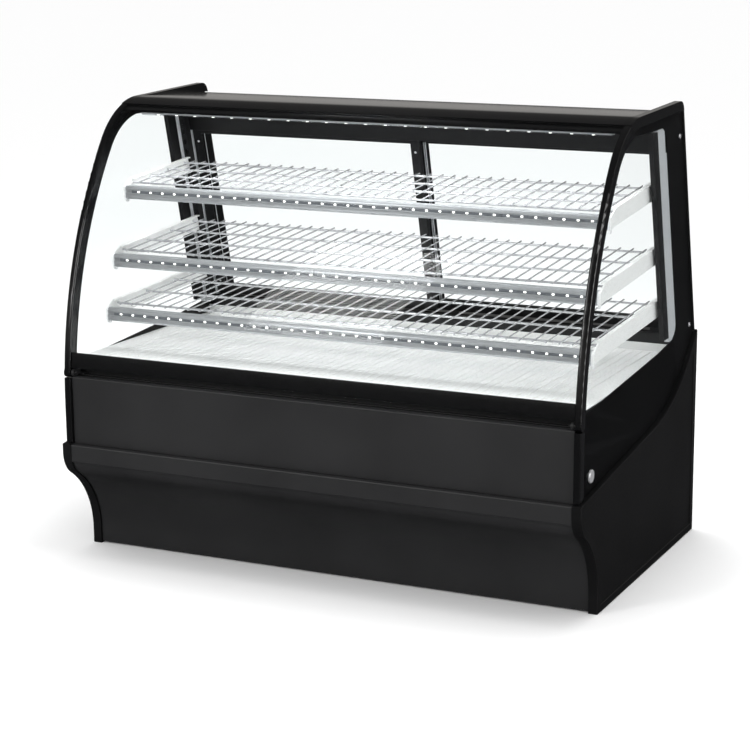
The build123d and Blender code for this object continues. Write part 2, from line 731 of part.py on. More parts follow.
end_glass, end_border = upper_end()
save_pair("end_glass", end_glass)
save_pair("end_border", end_border)
post = lower_post()
save("lower_posts", post, mirrored(post))
shell, tray, housing, lens = canopy_parts()
save("canopy_shell", shell)
save("canopy_tray", tray)
save("canopy_light", housing)
save("canopy_light_lens", lens)
save("rear_header", rear_header())
save_pair("rear_post", rear_post())
standard, cover = shelf_standard()
save_pair("shelf_standard", standard)
save("post_covers", cover, mirrored(cover))
crown = crown_cap()
save("crown_caps", crown, mirrored(crown))

glass, foot_rail, top_rail = front_glass_parts()
save("front_glass", glass)
save("glass_foot_rail", foot_rail)
save("glass_top_rail", top_rail)
save_pair("glass_trim", front_trim())
pin = turned(PIVOT_R, *PIVOT, 712, POST_X[0] + 14)
save("glass_pivot_pins", pin, mirrored(pin))
ears = glass_hinge_brackets()
save("glass_hinge_brackets", ears, mirrored(ears))

for side in ("left", "right"):
    frame, pane, pull, glides = door_parts(side)
    save(f"door_{side}_frame", frame)
    save(f"door_{side}_glass", pane)
    save(f"door_{side}_pull", pull)
    save(f"door_{side}_glides", *glides)

for name, face, rail_top, tilt in SHELF_SPECS:
    brackets, deck, rail, lens = shelf_parts(face, rail_top, tilt)
    save(f"shelf_{name}_brackets", *brackets)
    save(f"shelf_{name}_deck", deck)
    save(f"shelf_{name}_light_rail", rail)
    save(f"shelf_{name}_light_lens", lens)

save("end_fasteners", *side_caps(), *end_screws())
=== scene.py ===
"""A curved-glass display showcase: finishes, fine pieces and a studio for its CAD parts."""

from math import cos, pi, radians, sin

import bmesh
import bpy
from mathutils import Matrix, Vector


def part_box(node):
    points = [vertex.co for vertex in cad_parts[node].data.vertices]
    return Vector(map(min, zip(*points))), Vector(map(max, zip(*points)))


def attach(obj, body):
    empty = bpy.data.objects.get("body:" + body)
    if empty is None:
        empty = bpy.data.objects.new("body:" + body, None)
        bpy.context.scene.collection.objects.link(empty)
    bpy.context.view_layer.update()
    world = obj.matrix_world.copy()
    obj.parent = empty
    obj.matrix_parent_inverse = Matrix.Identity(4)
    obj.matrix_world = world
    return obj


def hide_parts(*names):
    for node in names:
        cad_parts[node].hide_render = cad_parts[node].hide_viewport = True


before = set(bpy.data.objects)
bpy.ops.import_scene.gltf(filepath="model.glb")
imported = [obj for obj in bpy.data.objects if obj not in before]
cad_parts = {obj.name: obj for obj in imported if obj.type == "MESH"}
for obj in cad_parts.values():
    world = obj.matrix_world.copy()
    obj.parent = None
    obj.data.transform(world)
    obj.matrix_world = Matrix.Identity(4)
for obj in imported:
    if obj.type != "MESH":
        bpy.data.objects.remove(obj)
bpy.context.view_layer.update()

bl_info = {
    "name": "Display Showcase",
    "version": (1, 0, 0),
    "blender": (4, 5, 0),
    "location": "View3D > Sidebar > Showcase",
    "description": "Builds the looks of a curved-glass display showcase round its CAD frame",
    "category": "Add Mesh",
}

MM = 0.001
ENDS = (("left", -1), ("right", 1))
SHELVES = ("top", "middle", "bottom")


# ---- colour and nodes ---------------------------------------------------------------------
def srgb(text):
    """A hex colour as linear red, green and blue."""
    parts = [int(text[i : i + 2], 16) / 255 for i in (1, 3, 5)]
    linear = [c / 12.92 if c <= 0.04045 else ((c + 0.055) / 1.055) ** 2.4 for c in parts]
    return (*linear, 1.0)


def add_node(tree, kind, settings=None, inputs=None):
    """One node with its settings, and its inputs as values or as sockets to link."""
    node = tree.nodes.new(kind)
    for name, value in (settings or {}).items():
        setattr(node, name, value)
    for name, value in (inputs or {}).items():
        if isinstance(value, bpy.types.NodeSocket):
            tree.links.new(value, node.inputs[name])
        else:
            node.inputs[name].default_value = value
    return node


def new_material(name):
    """An empty material: its tree and its output node."""
    material = bpy.data.materials.new(name)
    material.use_nodes = True
    tree = material.node_tree
    tree.nodes.clear()
    output = add_node(tree, "ShaderNodeOutputMaterial")
    return material, tree, output


def grain(tree, size_mm, detail=2.0, stretch=(1.0, 1.0, 1.0)):
    """Noise whose features are about this wide, in object coordinates."""
    place = add_node(tree, "ShaderNodeTexCoord")
    scaled = add_node(
        tree, "ShaderNodeMapping", inputs={"Vector": place.outputs["Object"], "Scale": stretch}
    )
    return add_node(
        tree,
        "ShaderNodeTexNoise",
        inputs={
            "Vector": scaled.outputs["Vector"],
            "Scale": 1.0 / (size_mm * MM),
            "Detail": detail,
            "Roughness": 0.55,
        },
    )


def spread(tree, noise, low, high):
    """A noise's middle range mapped onto two values."""
    mapped = add_node(
        tree,
        "ShaderNodeMapRange",
        inputs={
            "Value": noise.outputs["Fac"],
            "From Min": 0.3,
            "From Max": 0.7,
            "To Min": low,
            "To Max": high,
        },
    )
    return mapped.outputs["Result"]


def tinted(tree, noise, low, high):
    """A noise's middle range mapped onto two colours."""
    mix = add_node(tree, "ShaderNodeMix", {"data_type": "RGBA"})
    tree.links.new(spread(tree, noise, 0.0, 1.0), mix.inputs[0])
    mix.inputs[6].default_value = srgb(low)
    mix.inputs[7].default_value = srgb(high)
    return mix.outputs[2]


def bumped(tree, noise, height_mm, strength=1.0):
    """A normal raised by a noise to a height."""
    bump = add_node(
        tree,
        "ShaderNodeBump",
        inputs={
            "Strength": strength,
            "Distance": height_mm * MM,
            "Height": noise.outputs["Fac"],
        },
    )
    return bump.outputs["Normal"]


def surface(tree, output, inputs):
    """A Principled shader joined to the material's output."""
    shader = add_node(tree, "ShaderNodeBsdfPrincipled", inputs=inputs)
    tree.links.new(shader.outputs["BSDF"], output.inputs["Surface"])
    return shader


# ---- materials ----------------------------------------------------------------------------
def moulded_abs():
    """Injection-moulded ABS of the base ends: near-black, with a fine spark-eroded grain."""
    material, tree, output = new_material("moulded_black_abs")
    spark = grain(tree, 2.2, 3.0)
    cloud = grain(tree, 180.0, 2.0)
    inputs = {
        "Base Color": tinted(tree, cloud, "#0d0d0e", "#141415"),
        "Roughness": spread(tree, spark, 0.36, 0.46),
        "Specular IOR Level": 0.22,
        "Normal": bumped(tree, spark, 0.02, 0.35),
    }
    surface(tree, output, inputs)
    return material


def powder_coat(name, low, high, roughness, level):
    """Baked powder coat on sheet steel: an even satin with a faint orange peel."""
    material, tree, output = new_material(name)
    peel = grain(tree, 2.6, 1.0)
    cloud = grain(tree, 240.0, 2.0)
    inputs = {
        "Base Color": tinted(tree, cloud, low, high),
        "Roughness": spread(tree, peel, roughness - 0.03, roughness + 0.03),
        "Specular IOR Level": level,
        "Normal": bumped(tree, peel, 0.015, 0.35),
    }
    surface(tree, output, inputs)
    return material


def gloss_enamel():
    """Gloss black enamel over aluminium trims: deep black with clear, soft-edged highlights."""
    material, tree, output = new_material("gloss_black_enamel")
    peel = grain(tree, 6.0, 1.0)
    inputs = {
        "Base Color": tinted(tree, peel, "#060607", "#0a0a0b"),
        "Roughness": spread(tree, peel, 0.15, 0.2),
        "Specular IOR Level": 0.5,
        "Normal": bumped(tree, peel, 0.004, 0.12),
    }
    surface(tree, output, inputs)
    return material


def printed_enamel():
    """Ceramic ink fired on the back of the end glass: black, seen through the pane's gloss."""
    material, tree, output = new_material("fired_black_ink")
    speck = grain(tree, 3.0, 2.0)
    inputs = {
        "Base Color": tinted(tree, speck, "#060607", "#0b0b0c"),
        "Roughness": spread(tree, speck, 0.3, 0.4),
        "Specular IOR Level": 0.1,
    }
    surface(tree, output, inputs)
    return material


def clear_sheet(name, tint, weakest, strongest, roughness):
    """A clear sheet: nearly unseen face on, with a thin mirror at a glancing angle."""
    material, tree, output = new_material(name)
    facing = add_node(tree, "ShaderNodeLayerWeight", inputs={"Blend": 0.5})
    steep = add_node(
        tree, "ShaderNodeMath", {"operation": "POWER"}, {0: facing.outputs["Facing"], 1: 5.0}
    )
    mirror = add_node(
        tree,
        "ShaderNodeMath",
        {"operation": "MULTIPLY_ADD"},
        {0: steep.outputs[0], 1: strongest, 2: weakest},
    )
    clear = add_node(tree, "ShaderNodeBsdfTransparent", inputs={"Color": srgb(tint)})
    gloss = add_node(
        tree, "ShaderNodeBsdfGlossy", inputs={"Color": srgb("#ffffff"), "Roughness": roughness}
    )
    mix = add_node(
        tree,
        "ShaderNodeMixShader",
        inputs={0: mirror.outputs[0], 1: clear.outputs[0], 2: gloss.outputs[0]},
    )
    tree.links.new(mix.outputs[0], output.inputs["Surface"])
    return material


def metal(name, metallic, low, high, smooth, rough, size_mm, stretch, height_mm):
    """A bare or plated metal with its working marks."""
    material, tree, output = new_material(name)
    marks = grain(tree, size_mm, 2.0, stretch)
    inputs = {
        "Base Color": tinted(tree, marks, low, high),
        "Metallic": metallic,
        "Roughness": spread(tree, marks, smooth, rough),
        "Normal": bumped(tree, marks, height_mm, 0.3),
    }
    surface(tree, output, inputs)
    return material


def white_enamel():
    """White stove enamel on steel: bright, slightly warm and softly glossy."""
    material, tree, output = new_material("white_stove_enamel")
    peel = grain(tree, 3.0, 1.0)
    inputs = {
        "Base Color": tinted(tree, peel, "#ececeb", "#f2f2f1"),
        "Roughness": spread(tree, peel, 0.26, 0.34),
        "Normal": bumped(tree, peel, 0.015, 0.3),
    }
    surface(tree, output, inputs)
    return material


def moulded_nylon(name, low, high):
    """Moulded nylon: matt, and takes almost no highlight."""
    material, tree, output = new_material(name)
    grit = grain(tree, 1.0, 2.0)
    inputs = {
        "Base Color": tinted(tree, grit, low, high),
        "Roughness": spread(tree, grit, 0.5, 0.65),
        "Normal": bumped(tree, grit, 0.01, 0.3),
    }
    surface(tree, output, inputs)
    return material


def lit_diode():
    """Phosphor-coated light diode, switched on: a little warmer where the coat is thick."""
    material, tree, output = new_material("lit_phosphor")
    coat = grain(tree, 1.5, 1.0, (1.0, 1.0, 1.0))
    inputs = {
        "Base Color": srgb("#fffdf4"),
        "Emission Color": tinted(tree, coat, "#fbfcff", "#fff6e6"),
        "Emission Strength": 3.0,
    }
    surface(tree, output, inputs)
    return material


def matt_card(name, colour):
    """Matt painted card of the studio."""
    material, tree, output = new_material(name)
    inputs = {"Base Color": srgb(colour), "Roughness": 0.9, "Specular IOR Level": 0.1}
    surface(tree, output, inputs)
    return material


# Finishes are built once and kept here.
FINISH_STORE = {}


def materials():
    """Every finish by the name of the piece it is made for, built once."""
    if not FINISH_STORE:
        along = (0.02, 1.0, 1.0)
        even = (1.0, 1.0, 1.0)
        FINISH_STORE.update({
            "abs": moulded_abs(),
            "charcoal": powder_coat("charcoal_powder_coat", "#212122", "#272728", 0.42, 0.4),
            "black": powder_coat("black_powder_coat", "#0f0f10", "#131314", 0.38, 0.35),
            "frame": powder_coat("stoved_frame_paint", "#1a1a1b", "#232324", 0.5, 0.4),
            "canopy": powder_coat("satin_canopy_coat", "#0a0a0b", "#0e0e0f", 0.12, 0.4),
            "enamel": gloss_enamel(),
            "ink": printed_enamel(),
            "glass": clear_sheet("clear_float_glass", "#feffff", 0.006, 0.25, 0.02),
            "lens": clear_sheet("clear_acrylic_lens", "#eef0f2", 0.06, 0.5, 0.12),
            "aluminium": metal(
                "anodised_aluminium", 0.55, "#b4b6b9", "#cacccf", 0.26, 0.38, 0.8, along, 0.01
            ),
            "jamb": metal(
                "satin_anodised_jamb", 0.4, "#cfd1d4", "#dfe1e4", 0.3, 0.4, 0.8, even, 0.01
            ),
            "chrome": metal("chrome_plate", 0.6, "#dcdde0", "#e6e7e9", 0.1, 0.2, 2.0, even, 0.004),
            "zinc": metal("zinc_plate", 0.8, "#9a9da0", "#b9bcbf", 0.35, 0.5, 12.0, even, 0.01),
            "white": white_enamel(),
            "nylon": moulded_nylon("moulded_black_nylon", "#101011", "#19191a"),
            "cap": moulded_nylon("moulded_white_nylon", "#e2e3e4", "#ededee"),
            "board": moulded_nylon("light_board_mask", "#77797c", "#85878a"),
            "diode": lit_diode(),
            "floor": matt_card("matt_white_floor", "#fbfbfb"),
            "flag": matt_card("matt_dark_card", "#3a3a3c"),
        })
    return FINISH_STORE


FINISHES = {
    "abs": ("base_end_left", "base_end_right"),
    "charcoal": ("kick_panel", "ledge_trim", "front_panel"),
    "black": (
        "rear_access_panel",
        "front_sill",
        "rear_sill",
        "rear_header",
        "deck_support",
        "canopy_tray",
        "switch_plate",
        "post_covers",
        "shelf_standard_left",
        "shelf_standard_right",
        "door_left_frame",
        "door_right_frame",
        "door_left_pull",
        "door_right_pull",
    ),
    "enamel": (
        "lower_posts",
        "crown_caps",
        "glass_trim_left",
        "glass_trim_right",
        "glass_foot_rail",
        "glass_top_rail",
    ),
    "canopy": ("canopy_shell",),
    "ink": ("end_border_left", "end_border_right"),
    "glass": (
        "end_glass_left",
        "end_glass_right",
        "front_glass",
        "door_left_glass",
        "door_right_glass",
    ),
    "jamb": ("rear_post_left", "rear_post_right"),
    "aluminium": (
        "canopy_light",
        "shelf_top_light_rail",
        "shelf_middle_light_rail",
        "shelf_bottom_light_rail",
    ),
    "white": ("deck_pan", "shelf_top_brackets", "shelf_middle_brackets", "shelf_bottom_brackets"),
    "chrome": (
        "shelf_top_deck",
        "shelf_middle_deck",
        "shelf_bottom_deck",
        "end_fasteners",
    ),
    "frame": ("base_frame", "glass_hinge_brackets", "glass_pivot_pins"),
    "nylon": (
        "levelling_feet",
        "cable_inlet",
        "switch_rocker",
        "door_left_glides",
        "door_right_glides",
    ),
    "zinc": ("led_driver",),
    "lens": (
        "canopy_light_lens",
        "shelf_top_light_lens",
        "shelf_middle_light_lens",
        "shelf_bottom_light_lens",
    ),
}

# Widths of the softened edges, in millimetres, where they aren't the usual one.
USUAL_EDGE = 0.8
NO_EDGE = (
    "shelf_top_deck",
    "shelf_middle_deck",
    "shelf_bottom_deck",
    "end_border_left",
    "end_border_right",
)


def finish_node(name, material, edge_mm):
    """Give a CAD part its finish, smooth shading and softened edges."""
    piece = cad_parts[name]
    piece.data.materials.clear()
    piece.data.materials.append(material)
    for polygon in piece.data.polygons:
        polygon.use_smooth = True
    piece.modifiers.new("join_seams", "WELD").merge_threshold = 0.01 * MM
    if edge_mm:
        bevel = piece.modifiers.new("soft_edge", "BEVEL")
        bevel.width = edge_mm * MM
        bevel.segments = 2
        bevel.limit_method = "ANGLE"
        bevel.angle_limit = radians(35)
    add_smooth_by_angle(piece, 30)
    if edge_mm:
        flat = piece.modifiers.new("flat_faces", "WEIGHTED_NORMAL")
        flat.mode = "FACE_AREA"
        flat.keep_sharp = True


def add_smooth_by_angle(piece, angle):
    """Keep edges sharper than an angle sharp, with a small node modifier."""
    group = bpy.data.node_groups.get("sharp_above_angle")
    if group is None:
        group = bpy.data.node_groups.new("sharp_above_angle", "GeometryNodeTree")
        group.interface.new_socket("Geometry", in_out="INPUT", socket_type="NodeSocketGeometry")
        group.interface.new_socket("Geometry", in_out="OUTPUT", socket_type="NodeSocketGeometry")
        start = add_node(group, "NodeGroupInput")
        stop = add_node(group, "NodeGroupOutput")
        turn = add_node(group, "GeometryNodeInputMeshEdgeAngle")
        wide = add_node(
            group,
            "FunctionNodeCompare",
            {"data_type": "FLOAT", "operation": "LESS_EQUAL"},
            {0: turn.outputs["Unsigned Angle"], 1: radians(angle)},
        )
        edges = add_node(
            group,
            "GeometryNodeSetShadeSmooth",
            {"domain": "EDGE"},
            {"Geometry": start.outputs[0], "Shade Smooth": wide.outputs[0]},
        )
        faces = add_node(
            group,
            "GeometryNodeSetShadeSmooth",
            {"domain": "FACE"},
            {"Geometry": edges.outputs[0], "Shade Smooth": True},
        )
        group.links.new(faces.outputs[0], stop.inputs[0])
    piece.modifiers.new("sharp_above_angle", "NODES").node_group = group


# ---- shapes -------------------------------------------------------------------------------
def add_piece(name, shape, finish, body, edge_mm=0.0):
    """A piece from a bmesh, smooth-shaded, finished and riding on its body."""
    bmesh.ops.recalc_face_normals(shape, faces=shape.faces)
    mesh = bpy.data.meshes.new(name)
    shape.to_mesh(mesh)
    shape.free()
    piece = bpy.data.objects.new(name, mesh)
    bpy.context.scene.collection.objects.link(piece)
    piece.data.materials.append(materials()[finish])
    for polygon in mesh.polygons:
        polygon.use_smooth = True
    if edge_mm:
        soften(piece, edge_mm)
    add_smooth_by_angle(piece, 30)
    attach(piece, body)
    return piece


def soften(piece, edge_mm):
    """Round a piece's sharp edges."""
    bevel = piece.modifiers.new("soft_edge", "BEVEL")
    bevel.width = edge_mm * MM
    bevel.segments = 2
    bevel.limit_method = "ANGLE"
    bevel.angle_limit = radians(35)


def pull_along_x(shape, outline, x0, x1):
    """A closed (y, z) outline pulled from x0 to x1."""
    rings = [[shape.verts.new((x, y, z)) for y, z in outline] for x in (x0, x1)]
    count = len(outline)
    for i in range(count):
        j = (i + 1) % count
        shape.faces.new((rings[0][i], rings[0][j], rings[1][j], rings[1][i]))
    shape.faces.new(rings[0])
    shape.faces.new(rings[1])


def arc(centre, radius, start, stop, steps):
    """Points on an arc, in degrees, as (y, z)."""
    points = []
    for i in range(steps + 1):
        turn = radians(start + (stop - start) * i / steps)
        points.append((centre[0] + radius * cos(turn), centre[1] + radius * sin(turn)))
    return points


def add_block(shape, low, high):
    """A block between two corners."""
    outline = [(low[1], low[2]), (high[1], low[2]), (high[1], high[2]), (low[1], high[2])]
    pull_along_x(shape, outline, low[0], high[0])


def turn_profile(shape, profile, frame_matrix, steps=24):
    """A (radius, height) profile turned about its axis, closed at both ends."""
    rings = []
    for radius, height in profile:
        ring = []
        for i in range(steps):
            angle = 2 * pi * i / steps
            point = Vector((radius * cos(angle), radius * sin(angle), height))
            ring.append(shape.verts.new(frame_matrix @ point))
        rings.append(ring)
    for lower, upper in zip(rings, rings[1:]):
        for i in range(steps):
            j = (i + 1) % steps
            shape.faces.new((lower[i], lower[j], upper[j], upper[i]))
    shape.faces.new(rings[0])
    shape.faces.new(rings[-1])


# ---- light rails --------------------------------------------------------------------------
def rail_outline(front, rear, low, top):
    """The rail's section: a rounded nose, a channel for the light and one for price tickets."""
    nose = 9.0 * MM
    seat, ticket = 3.9 * MM, 1.6 * MM
    lens_top, lens_low = top - 12 * MM, top - 20 * MM
    lip_top, lip_low = top - 22.5 * MM, top - 31.5 * MM
    heel = 7.0 * MM
    outline = [(rear, top)]
    outline += arc((front + nose, top - nose), nose, 90, 180, 8)
    outline += [(front, lens_top), (front + seat, lens_top), (front + seat, lens_low)]
    outline += [(front, lens_low), (front, lip_top), (front + ticket, lip_top)]
    outline += [(front + ticket, lip_low), (front, lip_low)]
    outline += arc((front + heel, low + heel), heel, 190, 280, 8)
    outline += [(rear, low + 2 * MM)]
    return outline


def build_light_rail(shelf, settings):
    """One shelf's rail, its end caps, light board and diodes."""
    node, body = f"shelf_{shelf}_light_rail", f"shelf_{shelf}"
    low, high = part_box(node)
    cap = 4.0 * MM
    front, rear, bottom, top = low.y, high.y, low.z, high.z
    rail = bmesh.new()
    pull_along_x(rail, rail_outline(front, rear, bottom, top), low.x + cap, high.x - cap)
    rail = add_piece(f"{shelf}_rail", rail, "aluminium", body, 0.35)
    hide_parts(node)

    ends = bmesh.new()
    for x0, x1 in ((low.x, low.x + cap), (high.x - cap, high.x)):
        big, lobe = 10.0 * MM, 13.0 * MM
        outline = [(rear, top)]
        outline += arc((front + big, top - big), big, 90, 180, 8)
        outline += arc((front + lobe, bottom + 4 * MM), lobe, 180, 300, 12)
        outline += [(rear, bottom)]
        pull_along_x(ends, outline, x0, x1)
    add_piece(f"{shelf}_rail_caps", ends, "cap", body, 0.8)

    lens_low, lens_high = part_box(f"shelf_{shelf}_light_lens")
    board = bmesh.new()
    inset = 0.4 * MM
    add_block(
        board,
        (lens_low.x, lens_high.y - 1.2 * MM, lens_low.z + inset),
        (lens_high.x, lens_high.y - inset, lens_high.z - inset),
    )
    add_piece(f"{shelf}_light_board", board, "board", body)
    middle = (lens_high.y - 1.9 * MM, (lens_low.z + lens_high.z) / 2)
    size = (6.5 * MM, 1.4 * MM, 4.2 * MM)
    set_diodes(f"{shelf}_diodes", lens_low.x, lens_high.x, settings.rail_pitch, middle, size, body)


def set_diodes(name, x0, x1, pitch, middle, size, body):
    """A row of round-cornered diodes along X."""
    row = bmesh.new()
    count = int((x1 - x0) / pitch)
    start = (x0 + x1) / 2 - (count - 1) * pitch / 2
    for i in range(count):
        centre = Vector((start + i * pitch, middle[0], middle[1]))
        half = Vector(size) / 2
        add_block(row, centre - half, centre + half)
    piece = add_piece(name, row, "diode", body, 0.4)


# ---- door trims ---------------------------------------------------------------------------
def rear_lean():
    """The slope of the doors: how far they lean forward for each unit of height."""
    low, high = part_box("door_left_glass")
    thick = 6 * MM
    return (high.y - low.y - thick) / (high.z - low.z)


def leaning_bar(shape, x0, x1, foot_y, depth, z0, z1, slope, foot_z):
    """A bar that leans with the doors; foot_y is its front face at the height foot_z."""
    outline = []
    for z, y in ((z0, 0.0), (z0, depth), (z1, depth), (z1, 0.0)):
        outline.append((foot_y + y - (z - foot_z) * slope, z))
    pull_along_x(shape, outline, x0, x1)


def build_door_trims():
    """Bright interlock strips and black brush seals on the sliding doors."""
    slope = rear_lean()
    low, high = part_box("door_right_frame")
    thick = 16 * MM
    foot = high.y - thick
    strips = bmesh.new()
    for x0 in (9.2 * MM, 14.6 * MM):
        leaning_bar(strips, x0, x0 + 3.2 * MM, foot - 2.2 * MM, 2.4 * MM,
                    low.z + 30 * MM, high.z - 34 * MM, slope, low.z)
    strips = add_piece("right_door_interlock", strips, "aluminium", "rear_door_right", 0.5)
    for side, sign in ENDS:
        low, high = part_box(f"door_{side}_frame")
        foot = high.y - thick
        seal = bmesh.new()
        edge = low.x if side == "left" else high.x
        x0, x1 = sorted((edge, edge - sign * 4 * MM))
        leaning_bar(seal, x0, x1, foot - 1.6 * MM, 2.0 * MM,
                    low.z + 20 * MM, high.z - 20 * MM, slope, low.z)
        seal = add_piece(f"{side}_door_seal", seal, "nylon", f"rear_door_{side}", 0.5)


SEAL_THICK = 1.0 * MM
SEAL_LAP = 0.4 * MM
SEAL_TOP_GAP = 0.8 * MM


def build_edge_seals():
    """Black strips that cover the bare rear edge of each end glass."""
    slope = rear_lean()
    for side, _ in ENDS:
        glass = bpy.data.objects[f"end_glass_{side}"]
        low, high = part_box(f"end_glass_{side}")
        rear = max(point.co.y + slope * point.co.z for point in glass.data.vertices)
        heel_z = (rear - high.y) / slope
        seat_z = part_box(f"base_end_{side}")[1].z
        strip = bmesh.new()
        x0, x1 = low.x - SEAL_LAP, high.x + SEAL_LAP
        top_z = high.z - SEAL_TOP_GAP
        leaning_bar(strip, x0, x1, high.y, SEAL_THICK, heel_z, top_z, slope, heel_z)
        if heel_z > seat_z:
            leaning_bar(strip, x0, x1, high.y, SEAL_THICK, seat_z, heel_z, 0.0, heel_z)
        strip = add_piece(f"{side}_end_edge_seal", strip, "nylon", "cabinet", 0.3)


# ---- screws -------------------------------------------------------------------------------
def socket_screw(shape, place, outward, radius):
    """A button-head screw with a socket, standing out along a direction."""
    tall = radius * 0.55
    profile = [(radius * 0.96, 0.0), (radius, tall * 0.2), (radius * 0.93, tall * 0.55)]
    profile += [(radius * 0.75, tall * 0.85), (radius * 0.52, tall)]
    profile += [(radius * 0.46, tall * 0.98), (radius * 0.42, tall * 0.35)]
    profile += [(radius * 0.02, tall * 0.3)]
    turn = Vector(outward).to_track_quat("Z", "Y").to_matrix().to_4x4()
    turn_profile(shape, profile, Matrix.Translation(place) @ turn)


def build_screws():
    """Screws of the rear panel and the door frames."""
    low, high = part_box("rear_access_panel")
    rear = bmesh.new()
    inset = 18 * MM
    for z in (low.z + inset, (low.z + high.z) / 2, high.z - inset):
        for x in (low.x + inset, low.x / 2, 0.0, high.x / 2, high.x - inset):
            if z < high.z - 0.1 and z > low.z + 0.1 and abs(x) < high.x - 0.1:
                continue
            socket_screw(rear, (x, high.y - 0.1 * MM, z), (0, 1, 0), 4.5 * MM)
    add_piece("rear_panel_screws", rear, "chrome", "cabinet")
    slope = rear_lean()
    for side, _ in ENDS:
        low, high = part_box(f"door_{side}_frame")
        doors = bmesh.new()
        thick = 16 * MM
        foot = high.y - thick
        for z in (low.z + 40 * MM, high.z - 62 * MM):
            y = foot - (z - low.z) * slope
            x = high.x - 13.5 * MM if side == "left" else low.x + 13.5 * MM
            outer = low.x + 13.5 * MM if side == "left" else high.x - 13.5 * MM
            places = (x, outer) if side == "left" else (outer,)
            for px in places:
                socket_screw(doors, (px, y + 0.2 * MM, z), (0, -1, -slope), 3.6 * MM)
        piece = add_piece(f"{side}_door_screws", doors, "chrome", f"rear_door_{side}")


# ---- operators ----------------------------------------------------------------------------
class ShowcaseSettings(bpy.types.PropertyGroup):
    """Spacings of the showcase's light diodes."""

    rail_pitch: bpy.props.FloatProperty(
        name="Rail diode pitch",
        description="Distance between two light diodes of a shelf's rail",
        default=0.038,
        unit="LENGTH",
    )
    canopy_pitch: bpy.props.FloatProperty(
        name="Canopy diode pitch",
        description="Distance between two light diodes of the canopy",
        default=0.058,
        unit="LENGTH",
    )


class SHOWCASE_OT_finish_parts(bpy.types.Operator):
    """Give every CAD part its finish"""

    bl_idname = "showcase.finish_parts"
    bl_label = "Finish the CAD parts"

    def execute(self, context):
        made = materials()
        done = set()
        for finish, names in FINISHES.items():
            for name in names:
                finish_node(name, made[finish], 0.0 if name in NO_EDGE else USUAL_EDGE)
                done.add(name)
        missed = set(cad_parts) - done
        if missed:
            raise RuntimeError(f"parts with no finish: {sorted(missed)}")
        return {"FINISHED"}


class SHOWCASE_OT_light_rails(bpy.types.Operator):
    """Build the lit aluminium rail at the front of each shelf"""

    bl_idname = "showcase.light_rails"
    bl_label = "Build the light rails"

    def execute(self, context):
        for shelf in SHELVES:
            build_light_rail(shelf, context.scene.showcase)
        return {"FINISHED"}


class SHOWCASE_OT_canopy_lamps(bpy.types.Operator):
    """Set the diodes in the canopy's light"""

    bl_idname = "showcase.canopy_lamps"
    bl_label = "Build the canopy's diodes"

    def execute(self, context):
        low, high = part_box("canopy_light_lens")
        middle = (low + high) / 2
        set_diodes("canopy_diodes", low.x, high.x, context.scene.showcase.canopy_pitch,
                   (middle.y, high.z - 1.2 * MM), (7 * MM, 4 * MM, 1.6 * MM), "cabinet")
        return {"FINISHED"}


class SHOWCASE_OT_door_trims(bpy.types.Operator):
    """Build the doors' interlock strips and brush seals"""

    bl_idname = "showcase.door_trims"
    bl_label = "Build the door trims"

    def execute(self, context):
        build_door_trims()
        build_edge_seals()
        return {"FINISHED"}


class SHOWCASE_OT_screws(bpy.types.Operator):
    """Build the screws that a hand would turn"""

    bl_idname = "showcase.screws"
    bl_label = "Build the screws"

    def execute(self, context):
        build_screws()
        return {"FINISHED"}


class SHOWCASE_OT_stage(bpy.types.Operator):
    """Lay the floor, hang the lights and place the camera"""

    bl_idname = "showcase.stage"
    bl_label = "Build the studio"

    def execute(self, context):
        lay_floor()
        lay_flag()
        light_world()
        hang_lights()
        hang_canopy_lamp()
        place_camera(context.scene)
        return {"FINISHED"}


def lay_floor():
    """A wide plain floor just under the feet."""
    half = 60.0
    mesh = bpy.data.meshes.new("studio_floor")
    corners = [(-half, -half, 0), (half, -half, 0), (half, half, 0), (-half, half, 0)]
    mesh.from_pydata(corners, [], [(0, 1, 2, 3)])
    floor = bpy.data.objects.new("studio_floor", mesh)
    floor.data.materials.append(materials()["floor"])
    bpy.context.scene.collection.objects.link(floor)


def light_world():
    """White surroundings that light evenly, but mirror as the dim walls of a studio."""
    world = bpy.data.worlds.new("studio_air")
    world.use_nodes = True
    tree = world.node_tree
    tree.nodes.clear()
    kind = add_node(tree, "ShaderNodeLightPath")
    way = add_node(tree, "ShaderNodeTexCoord")
    height = add_node(tree, "ShaderNodeSeparateXYZ", inputs={"Vector": way.outputs["Generated"]})
    wall = add_node(
        tree,
        "ShaderNodeMapRange",
        {"interpolation_type": "SMOOTHSTEP"},
        {
            "Value": height.outputs["Z"],
            "From Min": 0.2,
            "From Max": 0.34,
            "To Min": 0.4,
            "To Max": 0.08,
        },
    )
    bright = add_node(
        tree, "ShaderNodeBackground", inputs={"Color": srgb("#ffffff"), "Strength": 1.05}
    )
    dim = add_node(
        tree,
        "ShaderNodeBackground",
        inputs={"Color": srgb("#fbf8f4"), "Strength": wall.outputs["Result"]},
    )
    mix = add_node(
        tree,
        "ShaderNodeMixShader",
        inputs={0: kind.outputs["Is Glossy Ray"], 1: bright.outputs[0], 2: dim.outputs[0]},
    )
    output = add_node(tree, "ShaderNodeOutputWorld")
    tree.links.new(mix.outputs[0], output.inputs["Surface"])
    bpy.context.scene.world = world


